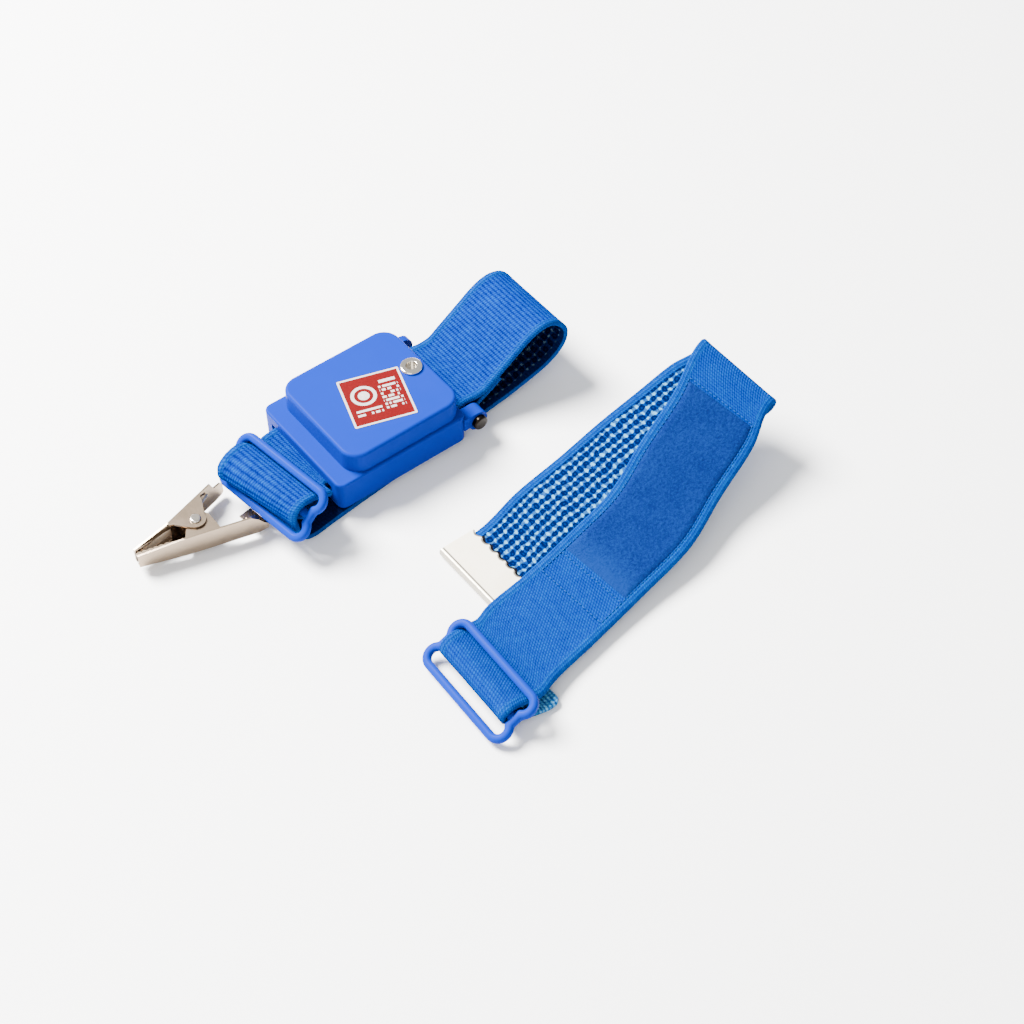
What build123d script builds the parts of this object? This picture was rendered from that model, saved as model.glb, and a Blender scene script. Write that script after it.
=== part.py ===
from build123d import *
import math
import os

os.makedirs("parts", exist_ok=True)

# Adjustable anti-static wrist strap: a moulded resistor module with an elastic wristband, a strap
# adjuster and a crocodile clip, and beside it a second, spare elastic band with its own adjuster
# and a crimped metal end plate.
# Millimetres. The origin is on the table, below the centre of the module. +X runs from the clip
# to the wrist loop, +Z is up, and the spare band lies on the -Y side.

# ---------------------------------------------------------------- driving dimensions
MODULE_LENGTH = 40.0
MODULE_WIDTH = 35.0
MODULE_BASE = 2.0            # underside of the module, which lies on the band
PARTING = 5.2                # where the two shells meet
SHELL_TOP = 10.8
BLOCK_TOP = 16.8
BLOCK_LENGTH = 35.1
BLOCK_WIDTH = 33.4
BLOCK_CENTRE_X = 2.25
WALL = 1.6
CORNER_RADIUS = 2.2
BLOCK_CORNER_RADIUS = 5.0
FLOOR_TOP = MODULE_BASE + 1.5

REAR_PIN_X = 23.6
REAR_PIN_Z = 6.3
REAR_PIN_RADIUS = 1.4
REAR_PIN_HEAD_RADIUS = 2.1
EAR_RADIUS = 2.9

FRONT_BAR_X = -16.5
FRONT_BAR_Z = 5.7
FRONT_BAR_RADIUS = 0.8
SLOT_LOW, SLOT_HIGH = 3.5, 7.9
SLOT_HALF_WIDTH = 13.5

LABEL_CENTRE = (2.4, -2.7)
LABEL_TURN = -18.0
LABEL_SIZE = (16.6, 17.0)
EYELET_CENTRE = (15.6, 0.4)
EYELET_BORE_RADIUS = 1.4
EYELET_TOP = BLOCK_TOP + 0.8
EYELET_FLOOR = 16.0

BOARD_LOW, BOARD_HIGH = 8.0, 9.2
BOARD_CENTRE_X = 2.0
BOARD_LENGTH, BOARD_WIDTH = 21.0, 21.0
BOARD_SCREW_X, BOARD_SCREW_Y = -6.0, 8.0
COVER_SCREW_X = (-11.0, 15.6)
COVER_SCREW_Y = 13.2
PLATE_RADIUS = 8.0
RESISTOR_Y = -6.5
RESISTOR_Z = BOARD_HIGH + 1.6
RESISTOR_LEADS = (-3.5, 7.5)

BAND_WIDTH = 25.0
BAND_THICKNESS = 1.3
ANCHOR_WIDTH = 23.6
ANCHOR_THICKNESS = 1.0
PATCH_THICKNESS = 0.9
PATCH_MARGIN = 2.6           # bare band beside the loop patch
PATCH_GAP = 0.15             # between the patch and the band, filled by the adhesive
SMOOTH_STEPS = 3             # slices of a strap between two of its stations

SLIDER_LENGTH = 32.2
SLIDER_WIDTH = 15.5
SLIDER_BAR = 2.2
SLIDER_WAIST = 29.9
SLIDER_LOBE = 3.74           # corner radius of the two lobes
FRONT_SLIDER_CENTRE = (-33.0, -7.15, 11.5)
FRONT_SLIDER_YAW, FRONT_SLIDER_TILT = 7.75, 40.0
SPARE_SLIDER_CENTRE = (-25.0, -81.3, 4.6)
SPARE_SLIDER_YAW, SPARE_SLIDER_TILT = -1.7, 26.5

SHEET = 0.5                  # steel sheet of the clip, its bracket and the end plate
CLIP_PIVOT = (-52.5, -1.2)
CLIP_OUTER = (0.5, 7.9)      # lowest and highest face of the moving jaw
CLIP_INNER = (1.1, 7.3)      # the fixed jaw sits inside it
FIXED_TIP, FIXED_END = (-69.5, -1.2), (-37.3, -10.1)
MOVING_TIP, MOVING_KNEE, MOVING_END = (-69.2, 1.0), (-58.4, 1.9), (-39.8, 7.4)
CLIP_RIVET_RADIUS = 0.95
CLIP_EAR_RADIUS = 2.7
SPRING_RADIUS = 1.75
SPRING_WIRE_RADIUS = 0.3
SPRING_LOW = 2.7

BRACKET_WIDTH = 6.0
BRACKET_ASIDE = -2.2         # from the slider's middle to the bracket's
BRACKET_RIVETS = (-3.9, -0.5)
BAND_AT_BRACKET = (1.85, 4.4)     # place on the rising band, forward and height
BRACKET_LEAN = -23.0              # slope of the rivets there
TAB_RIVET = (-39.4, -6.9)

END_PLATE_X = (-8.2, 2.5)
END_PLATE_Y = (-69.0, -42.9)
END_PLATE_Z = (0.0, 2.4)
END_PLATE_GROOVE = 1.0       # from its front edge to the pressed line
CRIMP_WAVES = 8


# ---------------------------------------------------------------- small helpers
def block(x, y, z):
    """Box from three (low, high) pairs."""
    centre = Pos(sum(x) / 2, sum(y) / 2, sum(z) / 2)
    return centre * Box(x[1] - x[0], y[1] - y[0], z[1] - z[0])


def upright(x, y, z, radius):
    """Cylinder along Z between the two heights in z."""
    return Pos(x, y, sum(z) / 2) * Cylinder(radius, z[1] - z[0])


def crosswise(x, z, y, radius):
    """Cylinder along Y between the two places in y."""
    return Pos(x, sum(y) / 2, z) * Rot(90, 0, 0) * Cylinder(radius, y[1] - y[0])


def slab(x, y, length, width, radius, z, taper=0):
    """Rounded rectangle raised from z[0] to z[1]."""
    outline = Pos(x, y, z[0]) * RectangleRounded(length, width, radius)
    return extrude(outline, z[1] - z[0], taper=taper)


def plate(points, z):
    """Flat plate with a polygon outline, from z[0] to z[1]."""
    return extrude(Pos(0, 0, z[0]) * make_face(Polyline(*points, close=True)), z[1] - z[0])


def smooth(stations, steps):
    """Points of a smooth curve through stations (x, y, z, yaw, tilt), allowing for their spacing."""
    last = len(stations) - 1
    gaps = [math.dist(stations[i][:3], stations[i + 1][:3]) for i in range(last)]
    points = []
    for i in range(last):
        start, end, gap = stations[i], stations[i + 1], gaps[i]
        leave = slopes(stations, gaps, i)
        arrive = slopes(stations, gaps, i + 1)
        for k in range(steps):
            t = k / steps
            blend = t * t * (3 - 2 * t)
            out, back = gap * t * (1 - t) ** 2, gap * t * t * (1 - t)
            points.append(tuple(a + (b - a) * blend + m * out - n * back
                                for a, b, m, n in zip(start, end, leave, arrive)))
    points.append(stations[-1])
    return points


def slopes(stations, gaps, i):
    """Change of every station value per millimetre at station i."""
    if i == 0:
        return [(b - a) / gaps[0] for a, b in zip(stations[0], stations[1])]
    if i == len(gaps):
        return [(b - a) / gaps[-1] for a, b in zip(stations[-2], stations[-1])]
    before, after = gaps[i - 1], gaps[i]
    return [((q - p) / before * after + (r - q) / after * before) / (before + after)
            for p, q, r in zip(stations[i - 1], stations[i], stations[i + 1])]


def ribbon(points, width, thickness, lift=0.0, part=None):
    """Solid strap along points (x, y, z, yaw, tilt). Yaw turns its width about Z, and tilt lowers
    its -Y edge; lift moves it off the path along its face's normal, and part keeps only a slice."""
    first, end = part or (0, len(points))
    sections = []
    for i in range(first, end):
        x, y, z, yaw, tilt = points[i]
        before, after = points[max(i - 1, 0)], points[min(i + 1, len(points) - 1)]
        along = Vector(after[0] - before[0], after[1] - before[1], after[2] - before[2]).normalized()
        yaw, tilt = math.radians(yaw), math.radians(tilt)
        across = Vector(math.sin(yaw) * math.cos(tilt), -math.cos(yaw) * math.cos(tilt), -math.sin(tilt))
        normal = along.cross(across).normalized()
        centre = Vector(x, y, z) + normal * lift
        side, rise = across * (width / 2), normal * (thickness / 2)
        sections.append([centre + side + rise, centre - side + rise,
                         centre - side - rise, centre + side - rise])
    faces = flat_faces(*sections[0]) + flat_faces(*sections[-1])
    for near, far in zip(sections, sections[1:]):
        for i in range(4):
            k = (i + 1) % 4
            faces += flat_faces(near[i], near[k], far[k], far[i])
    return Solid(Shell(faces))


def flat_faces(a, b, c, d):
    """The four-cornered face, or two triangles where its corners aren't in one plane."""
    if abs((b - a).cross(c - a).dot(d - a)) < 1e-9:
        outlines = [(a, b, c, d)]
    else:
        outlines = [(a, b, c), (a, c, d)]
    return [Face(Wire.make_polygon(outline, close=True)) for outline in outlines]


def in_slider(centre, yaw):
    """Turns (forward, height, aside) about a slider's centre bar into a strap station."""
    turn = math.radians(yaw)

    def station(forward, height, aside=0.0, tilt=0.0):
        x = centre[0] - forward * math.cos(turn) + aside * math.sin(turn)
        y = centre[1] - forward * math.sin(turn) - aside * math.cos(turn)
        return (x, y, height, yaw, tilt)

    return station


def arc(centre, radius, angles):
    """Points (forward, height) on a circle, at angles in degrees."""
    return [(centre[0] + radius * math.cos(math.radians(a)), centre[1] + radius * math.sin(math.radians(a)))
            for a in angles]


def save(shape, name):
    export_step(shape, f"parts/{name}.step")


# ---------------------------------------------------------------- module: shells
def ear(y):
    """Lug on the rear wall that holds the rear pin."""
    body = block((19.2, REAR_PIN_X), y, (PARTING, REAR_PIN_Z + EAR_RADIUS))
    body += crosswise(REAR_PIN_X, REAR_PIN_Z, y, EAR_RADIUS)
    return body - crosswise(REAR_PIN_X, REAR_PIN_Z, (y[0] - 1, y[1] + 1), REAR_PIN_RADIUS + 0.05)


def strap_slot():
    """Cut for the anchor strap through the front wall."""
    return block((-22, -17), (-SLOT_HALF_WIDTH, SLOT_HALF_WIDTH), (SLOT_LOW, SLOT_HIGH))


def make_top_shell():
    lower = slab(0, 0, MODULE_LENGTH, MODULE_WIDTH, CORNER_RADIUS, (PARTING, SHELL_TOP))
    lower = fillet(lower.faces().sort_by(Axis.Z)[-1].edges(), 0.6)
    raised = slab(BLOCK_CENTRE_X, 0, BLOCK_LENGTH, BLOCK_WIDTH, BLOCK_CORNER_RADIUS,
                  (SHELL_TOP - 1, BLOCK_TOP), taper=1)
    raised = fillet(raised.faces().sort_by(Axis.Z)[-1].edges(), 0.9)
    shell = lower + raised
    inner_length, inner_width = MODULE_LENGTH - 2 * WALL, MODULE_WIDTH - 2 * WALL
    shell -= slab(0, 0, inner_length, inner_width, 1.0, (PARTING, SHELL_TOP - WALL))
    shell -= slab(BLOCK_CENTRE_X, 0, BLOCK_LENGTH - 2 * WALL - 0.2, BLOCK_WIDTH - 2 * WALL - 0.2,
                  BLOCK_CORNER_RADIUS - WALL, (PARTING + 1, BLOCK_TOP - WALL))
    for x in COVER_SCREW_X:
        for y in (-COVER_SCREW_Y, COVER_SCREW_Y):
            shell += upright(x, y, (PARTING, BLOCK_TOP - WALL + 0.5), 2.1)
            shell -= upright(x, y, (PARTING - 1, 12.0), 1.05)
    for side in (-1, 1):
        rib = sorted((side * 13.8, side * 14.8))
        shell += block((-17.6, -15.4), rib, (FRONT_BAR_Z + FRONT_BAR_RADIUS + 0.05, SHELL_TOP - 1))
    shell += ear((-17.5, -13.6)) + ear((15.4, 17.5))
    shell -= strap_slot()
    shell -= upright(*EYELET_CENTRE, (BLOCK_TOP - 3, BLOCK_TOP + 1), 1.95)
    recess = Pos(*LABEL_CENTRE, BLOCK_TOP - 0.15) * Rot(0, 0, LABEL_TURN)
    shell -= extrude(recess * RectangleRounded(LABEL_SIZE[0] + 0.3, LABEL_SIZE[1] + 0.3, 0.4), 1)
    return shell


def make_bottom_cover():
    cover = slab(0, 0, MODULE_LENGTH, MODULE_WIDTH, CORNER_RADIUS, (MODULE_BASE, PARTING))
    cover = fillet(cover.faces().sort_by(Axis.Z)[0].edges(), 0.5)
    inner_length, inner_width = MODULE_LENGTH - 2 * WALL, MODULE_WIDTH - 2 * WALL
    lip = slab(0, 0, inner_length - 0.2, inner_width - 0.2, 0.9, (FLOOR_TOP - 0.5, PARTING + 1.2))
    lip -= slab(0, 0, inner_length - 1.8, inner_width - 1.8, 0.5, (FLOOR_TOP - 1, PARTING + 2))
    cover -= slab(0, 0, inner_length, inner_width, 1.0, (FLOOR_TOP, PARTING + 1))
    for x in COVER_SCREW_X:
        for y in (-COVER_SCREW_Y, COVER_SCREW_Y):
            lip -= upright(x, y, (FLOOR_TOP, PARTING + 2), 2.3)
    cover += lip
    for x in COVER_SCREW_X:
        for y in (-COVER_SCREW_Y, COVER_SCREW_Y):
            cover += upright(x, y, (FLOOR_TOP - 0.5, PARTING - 0.1), 2.1)
            cover -= upright(x, y, (MODULE_BASE - 1, PARTING + 1), 1.15)
            cover -= upright(x, y, (MODULE_BASE - 1, MODULE_BASE + 1.2), 1.9)
    for y in (-BOARD_SCREW_Y, BOARD_SCREW_Y):
        cover += upright(BOARD_SCREW_X, y, (FLOOR_TOP - 0.5, BOARD_LOW - 0.02), 1.6)
        cover -= upright(BOARD_SCREW_X, y, (FLOOR_TOP + 0.5, BOARD_LOW + 1), 0.65)
    cover += upright(10.6, 0, (FLOOR_TOP - 0.5, BOARD_LOW - 0.02), 1.4)
    for side in (-1, 1):
        saddle = sorted((side * 13.8, side * 14.8))
        cover += block((-17.6, -15.4), saddle, (FLOOR_TOP - 0.5, FRONT_BAR_Z - FRONT_BAR_RADIUS - 0.05))
    cover -= strap_slot()
    cover -= upright(0, 0, (MODULE_BASE - 1, MODULE_BASE + 0.4), PLATE_RADIUS + 0.1)
    return cover - upright(0, 0, (MODULE_BASE - 1, FLOOR_TOP + 1), 1.3)


def make_cover_screws():
    screws = []
    for x in COVER_SCREW_X:
        for y in (-COVER_SCREW_Y, COVER_SCREW_Y):
            head = upright(x, y, (MODULE_BASE + 0.05, MODULE_BASE + 1.15), 1.8)
            cross = block((x - 1.1, x + 1.1), (y - 0.2, y + 0.2), (MODULE_BASE - 1, MODULE_BASE + 0.6))
            cross += block((x - 0.2, x + 0.2), (y - 1.1, y + 1.1), (MODULE_BASE - 1, MODULE_BASE + 0.6))
            shank = upright(x, y, (MODULE_BASE + 1.15, 11.2), 1.0)
            screws.append(head - cross + shank)
    return Compound(children=screws)


# ---------------------------------------------------------------- module: what it carries
def make_label():
    place = Pos(*LABEL_CENTRE, BLOCK_TOP - 0.13) * Rot(0, 0, LABEL_TURN)
    return extrude(place * RectangleRounded(LABEL_SIZE[0], LABEL_SIZE[1], 0.3), 0.2)


def make_eyelet():
    x, y = EYELET_CENTRE
    flange = upright(x, y, (BLOCK_TOP, EYELET_TOP), 3.0)
    flange = fillet(flange.faces().sort_by(Axis.Z)[-1].edges(), 0.5)
    shank = upright(x, y, (14.2, BLOCK_TOP + 0.1), 1.9)
    flare = upright(x, y, (14.2, 14.75), 2.3)
    eyelet = flange + shank + flare - upright(x, y, (EYELET_FLOOR, 19), EYELET_BORE_RADIUS)
    mouth = eyelet.edges().filter_by(GeomType.CIRCLE).filter_by_position(Axis.Z, EYELET_TOP - 0.01, 20)
    return fillet(mouth.sort_by(SortBy.LENGTH)[0], 0.3)


def make_eyelet_contact():
    x, y = EYELET_CENTRE
    level = (14.8, 15.15)
    tab = upright(x, y, level, 2.4) + block((9.2, x), (y - 1.4, y + 1.4), level)
    tab += block((9.2, 9.55), (y - 1.4, y + 1.4), (BOARD_HIGH + 0.02, level[1]))
    return tab - upright(x, y, (14, 16), 1.95)


def make_circuit_board():
    board = slab(BOARD_CENTRE_X, 0, BOARD_LENGTH, BOARD_WIDTH, 1.0, (BOARD_LOW, BOARD_HIGH))
    for y in (-BOARD_SCREW_Y, BOARD_SCREW_Y):
        board -= upright(BOARD_SCREW_X, y, (BOARD_LOW - 1, BOARD_HIGH + 1), 0.8)
    for x in RESISTOR_LEADS:
        board -= upright(x, RESISTOR_Y, (BOARD_LOW - 1, BOARD_HIGH + 1), 0.4)
    return board


def make_board_screws():
    screws = []
    for y in (-BOARD_SCREW_Y, BOARD_SCREW_Y):
        head = upright(BOARD_SCREW_X, y, (BOARD_HIGH + 0.02, BOARD_HIGH + 0.9), 1.3)
        slot = block((BOARD_SCREW_X - 2, BOARD_SCREW_X + 2), (y - 0.15, y + 0.15), (BOARD_HIGH + 0.5, 11))
        screws.append(head - slot + upright(BOARD_SCREW_X, y, (5.0, BOARD_HIGH + 0.1), 0.6))
    return Compound(children=screws)


def make_resistor():
    """Axial 1 megohm safety resistor, with its two bent leads."""
    middle = sum(RESISTOR_LEADS) / 2
    lengthwise = Pos(middle, RESISTOR_Y, RESISTOR_Z) * Rot(0, 90, 0)
    body = lengthwise * Cylinder(1.1, 6.4)
    for end in (-2.6, 2.6):
        body += Pos(middle + end, RESISTOR_Y, RESISTOR_Z) * Rot(0, 90, 0) * Cylinder(1.3, 1.4)
    body += lengthwise * Cylinder(0.3, RESISTOR_LEADS[1] - RESISTOR_LEADS[0])
    for x in RESISTOR_LEADS:
        body += upright(x, RESISTOR_Y, (BOARD_LOW - 0.6, RESISTOR_Z + 0.3), 0.3)
    return body


def make_skin_plate():
    """Stainless contact disc under the module, with its stud through the cover."""
    disc = upright(0, 0, (MODULE_BASE - 0.3, MODULE_BASE + 0.35), PLATE_RADIUS)
    disc = fillet(disc.faces().sort_by(Axis.Z)[0].edges(), 0.2)
    return disc + upright(0, 0, (MODULE_BASE + 0.3, FLOOR_TOP + 0.5), 1.2)


def make_contact_spring():
    """Coil spring that joins the stud of the skin plate to the board."""
    low, turns_height = FLOOR_TOP + 0.75, BOARD_LOW - FLOOR_TOP - 1.05
    path = Pos(0, 0, low) * Helix(pitch=0.95, height=turns_height, radius=1.6)
    start = Plane(origin=path @ 0, z_dir=path % 0)
    return sweep(start * Circle(0.22), path=path, is_frenet=True)


def make_front_bar():
    return crosswise(FRONT_BAR_X, FRONT_BAR_Z, (-14.7, 14.7), FRONT_BAR_RADIUS)


def make_rear_pin():
    pin = crosswise(REAR_PIN_X, REAR_PIN_Z, (-17.7, 17.3), REAR_PIN_RADIUS)
    head = crosswise(REAR_PIN_X, REAR_PIN_Z, (-19.0, -17.6), REAR_PIN_HEAD_RADIUS)
    return pin + fillet(head.faces().sort_by(Axis.Y)[0].edges(), 0.5)


# ---------------------------------------------------------------- sliders
def slider_outline(inset, waist_fillet):
    """Two rounded lobes joined by a waist, drawn in from the frame's outer edge by inset."""
    waist_x = SLIDER_WAIST / 2 - inset
    outline = Rectangle(2 * waist_x, SLIDER_WIDTH / 2)
    radius = SLIDER_LOBE - inset
    lobe = RectangleRounded(SLIDER_LENGTH - 2 * inset, 2 * radius + 0.02, radius)
    for side in (-1, 1):
        outline += Pos(0, side * (SLIDER_WIDTH / 2 - SLIDER_LOBE - 0.01)) * lobe
    notches = [v for v in outline.vertices() if abs(v.Y) < 3.2 and abs(abs(v.X) - waist_x) < 0.02]
    return fillet(notches, waist_fillet)


def make_slider(centre, yaw, tilt):
    """Two-slot strap adjuster: a rod-like frame with a waist, and a centre bar across it."""
    half = SLIDER_BAR / 2
    frame = Pos(0, 0, -half) * extrude(slider_outline(0, 1.0) - slider_outline(SLIDER_BAR, 1.2), SLIDER_BAR)
    frame = fillet(frame.faces().filter_by(Axis.Z).edges(), 0.95)
    bar = Rot(0, 90, 0) * Cylinder(half, SLIDER_WAIST - SLIDER_BAR)
    return Pos(*centre) * Rot(0, 0, yaw - 90) * Rot(tilt, 0, 0) * (frame + bar)


# ---------------------------------------------------------------- wristband and its anchor strap
def wrist_band_stations():
    """From the sewn tail, round the rear pin, the wrist loop and the table to the front slider."""
    front = in_slider(FRONT_SLIDER_CENTRE, FRONT_SLIDER_YAW)
    low = BAND_THICKNESS / 2
    tail = [(35.0, 10.6), (31.2, 8.05), (28.3, 6.4)]
    wrap = arc((REAR_PIN_X, REAR_PIN_Z), REAR_PIN_RADIUS + 0.4 + low, range(-60, -271, -30))
    loop = [(26.4, 8.5), (29.6, 8.85), (33.0, 10.95), (37.0, 13.65), (40.5, 16.0), (43.6, 18.1),
            (46.8, 19.7), (50.2, 20.3), (53.4, 19.3), (55.6, 17.2), (57.0, 14.6), (56.9, 11.7),
            (54.9, 8.6), (51.2, 6.1), (44.8, 4.0), (38.3, 2.4), (31.9, 1.3)]
    stations = [(x, 0.0, z, 0.0, 0.0) for x, z in tail + wrap + loop]
    stations += [(26.0, -0.3, low, 1.6, 0.0), (24.5, -0.5, low, 2.2, 0.0), (10.0, -2.2, low, 5.7, 0.0),
                 (6.0, -2.6, low, 5.7, 0.0), (-6.0, -3.8, low, 5.7, 0.0), (-20.0, -5.2, low, 5.7, 0.0)]
    rise = [(-6.5, low), (-5.0, low), (-2.6, 0.8), (-0.4, 1.5), (1.3, 3.2), (2.5, 6.0), (3.0, 9.0)]
    over = arc((0, FRONT_SLIDER_CENTRE[2]), 3.2, range(0, 91, 30))
    hem = [(-2.6, 14.2), (-5.0, 13.3), (-7.0, 12.25), (-8.8, 11.2)]
    return stations + [front(forward, height, -0.3) for forward, height in rise + over + hem]


def anchor_strap_stations():
    """Loop that ties the front slider's centre bar to the bar in the module."""
    front = in_slider(FRONT_SLIDER_CENTRE, FRONT_SLIDER_YAW)
    half = ANCHOR_THICKNESS / 2
    round_slider = arc((0, FRONT_SLIDER_CENTRE[2]), SLIDER_BAR / 2 + 0.3 + half, range(-60, 91, 30))
    round_bar = arc((FRONT_BAR_X, FRONT_BAR_Z), FRONT_BAR_RADIUS + 0.2 + half, range(90, -91, -30))
    stations = [(-20.9, 0.1, 4.3, 1.0, 0.0), front(-9.6, 4.8, -4.4), front(-6.0, 6.0, -2.2)]
    stations += [front(-2.5, 8.0, -0.6)]
    stations += [front(forward, height, -0.3) for forward, height in round_slider]
    stations += [front(-3.2, 12.6, -0.5), front(-6.0, 11.2, -1.6), front(-9.0, 9.3, -3.8),
                 front(-11.2, 7.9, -5.2), (-20.3, 0.3, 7.15, 1.0, 0.0)]
    stations += [(x, 0.3, z, 0.0, 0.0) for x, z in round_bar]
    return stations + [(-20.5, 0.3, 4.3, 1.0, 0.0)]


# ---------------------------------------------------------------- crocodile clip
def web(start, end, profile):
    """Upright sheet between two plan points; profile lists (share of its length, low, high)."""
    run = Vector(end[0] - start[0], end[1] - start[1])
    edge = [(share * run.length, low) for share, low, high in profile]
    edge += [(share * run.length, high) for share, low, high in reversed(profile)]
    face = make_face(Polyline(*edge, close=True))
    upright_plane = Plane(origin=(start[0], start[1], 0), x_dir=(run.X, run.Y, 0), z_dir=(run.Y, -run.X, 0))
    return extrude(upright_plane * face, SHEET / 2, both=True)


def teeth(start, end, count, z, bite):
    """Row of wedge-shaped teeth between two plan points, on the side where bite is positive."""
    run = Vector(end[0] - start[0], end[1] - start[1])
    side = Vector(-run.Y, run.X).normalized() * bite
    points = [tuple(start)]
    for i in range(count):
        tip = Vector(*start) + run * ((i + 0.5) / count) + side
        root = Vector(*start) + run * ((i + 1) / count)
        points += [(tip.X, tip.Y), (root.X, root.Y)]
    back = Vector(*end) - side * 0.4
    front = Vector(*start) - side * 0.4
    points += [(back.X, back.Y), (front.X, front.Y)]
    return plate(points, z)


def make_fixed_jaw():
    low, high = CLIP_INNER
    profile = [(0, low + 1.0, high - 1.0), (0.36, low, high), (0.88, low, high),
               (0.935, low + 0.2, high - 1.4), (0.97, low + 0.5, 4.4), (1, low + 1.0, 3.6)]
    jaw = web(FIXED_TIP, FIXED_END, profile)
    outline = [(-57.6, -4.5), (-48.7, -7.0), (-48.7, -1.2), (-50.0, 1.1), (-52.5, 1.5), (-54.6, 0.5),
               (-55.3, -1.5), (-56.2, -2.6)]
    lip = [FIXED_TIP, (-57.3, -4.55), (-57.1, -3.6), (-60.5, -2.55), (-69.4, -0.3)]
    for z in ((low, low + SHEET), (high - SHEET, high)):
        jaw += plate(outline, z)
        jaw -= upright(*CLIP_PIVOT, (z[0] - 0.1, z[1] + 0.1), CLIP_RIVET_RADIUS)
    for z in ((low + 1.0, low + 1.0 + SHEET), (high - 1.0 - SHEET, high - 1.0)):
        jaw += plate(lip, z)
        jaw += teeth((-69.3, -0.35), (-61.0, -2.4), 6, z, 0.35)
    tail = [(-40.8, -9.1), (-38.0, -9.85), (-37.9, -5.2), (-40.6, -4.8)]
    jaw += plate(tail, (2.45, 2.45 + SHEET))
    return jaw - upright(*TAB_RIVET, (2, 3.5), 0.85)


def make_moving_jaw():
    low, high = CLIP_OUTER
    front = [(0, low + 1.5, high - 1.5), (1, low, high)]
    rear = [(0, low, high), (0.79, low, high), (0.84, low, 5.4), (0.96, low + 0.3, 5.1), (1, low + 0.9, 4.4)]
    jaw = web(MOVING_TIP, MOVING_KNEE, front) + web(MOVING_KNEE, MOVING_END, rear)
    jaw += upright(*MOVING_KNEE, (low, high), SHEET / 2)
    outline = [(-58.9, 1.75), (-47.3, 5.3), (-48.4, 2.0)]
    ear_points = [(CLIP_PIVOT[0] + CLIP_EAR_RADIUS * math.cos(math.radians(a)),
                   CLIP_PIVOT[1] + CLIP_EAR_RADIUS * math.sin(math.radians(a)))
                  for a in range(0, -141, -20)]
    outline += ear_points + [(-56.4, -1.0), (-57.6, 0.6), (-58.7, 1.0)]
    lip = [MOVING_TIP, (-58.5, 1.9), (-58.7, 1.1), (-63.0, 0.75), (-69.2, 0.3)]
    for z in ((low, low + SHEET), (high - SHEET, high)):
        jaw += plate(outline, z)
        jaw -= upright(*CLIP_PIVOT, (z[0] - 0.1, z[1] + 0.1), CLIP_RIVET_RADIUS + 0.05)
    for z in ((low + 1.5, low + 1.5 + SHEET), (high - 1.5 - SHEET, high - 1.5)):
        jaw += plate(lip, z)
    return jaw


def make_clip_rivet():
    x, y = CLIP_PIVOT
    head = upright(x, y, (CLIP_OUTER[1] + 0.02, CLIP_OUTER[1] + 0.6), 1.4)
    head = fillet(head.faces().sort_by(Axis.Z)[-1].edges(), 0.4)
    foot = upright(x, y, (0.0, CLIP_OUTER[0] - 0.02), 1.4)
    shank = upright(x, y, (CLIP_OUTER[0] - 0.1, CLIP_OUTER[1] + 0.1), CLIP_RIVET_RADIUS - 0.01)
    return head + foot + shank


def spring_leg(angle, side, z, length):
    """Straight leg that leaves the coil at a tangent; side is -1 or 1 for the jaw it serves."""
    turn = math.radians(angle)
    x = CLIP_PIVOT[0] - side * SPRING_RADIUS * math.sin(turn) + length / 2 * math.cos(turn)
    y = CLIP_PIVOT[1] + side * SPRING_RADIUS * math.cos(turn) + length / 2 * math.sin(turn)
    return Pos(x, y, z) * Rot(0, 0, angle) * Rot(0, 90, 0) * Cylinder(SPRING_WIRE_RADIUS, length)


def make_clip_spring():
    """Torsion spring round the rivet, with its leg along the fixed jaw."""
    path = Pos(*CLIP_PIVOT, SPRING_LOW) * Helix(pitch=0.8, height=2.7, radius=SPRING_RADIUS)
    start = Plane(origin=path @ 0, z_dir=path % 0)
    coil = sweep(start * Circle(SPRING_WIRE_RADIUS), path=path, is_frenet=True)
    leg = spring_leg(-29, -1, SPRING_LOW - 2 * SPRING_WIRE_RADIUS - 0.05, 10.2)
    return Compound(children=[coil, leg])


# ---------------------------------------------------------------- clip bracket
def make_clip_bracket():
    """Bent strip: one leg against the rising band, the other under the fixed jaw's tail."""
    front = in_slider(FRONT_SLIDER_CENTRE, FRONT_SLIDER_YAW)
    bends = [(3.37, 5.3), (2.85, 4.03), (2.5, 3.0), (2.75, 2.4), (3.4, 2.15), (4.4, 2.15), (7.8, 2.15)]
    path = [front(forward, height, BRACKET_ASIDE) for forward, height in bends]
    bracket = ribbon(smooth(path, SMOOTH_STEPS), BRACKET_WIDTH, SHEET)
    for aside in BRACKET_RIVETS:
        bracket -= band_rivet(aside, (0, 2), 0.65)
    return bracket - upright(*TAB_RIVET, (1, 3), 0.85)


def band_rivet(aside, reach, radius):
    """Cylinder through the band and the bracket, between two distances from the band's middle."""
    forward, height = BAND_AT_BRACKET
    x, y, z, yaw, tilt = in_slider(FRONT_SLIDER_CENTRE, FRONT_SLIDER_YAW)(forward, height, aside)
    place = Pos(x, y, z) * Rot(0, 0, yaw + 180) * Rot(0, 90 - BRACKET_LEAN, 0)
    return place * Pos(0, 0, sum(reach) / 2) * Cylinder(radius, reach[1] - reach[0])


def make_bracket_rivets():
    rivets = []
    for aside in BRACKET_RIVETS:
        shank = band_rivet(aside, (-1.1, 1.7), 0.6)
        heads = band_rivet(aside, (-1.3, -0.85), 1.2) + band_rivet(aside, (1.5, 1.9), 1.2)
        rivets.append(shank + heads)
    return Compound(children=rivets)


def make_tab_rivet():
    """Tubular rivet that holds the fixed jaw's tail to the bracket."""
    rivet = upright(*TAB_RIVET, (1.4, 3.4), 0.8)
    rivet += upright(*TAB_RIVET, (1.4, 1.85), 1.4) + upright(*TAB_RIVET, (3.0, 3.4), 1.4)
    return rivet


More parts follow.
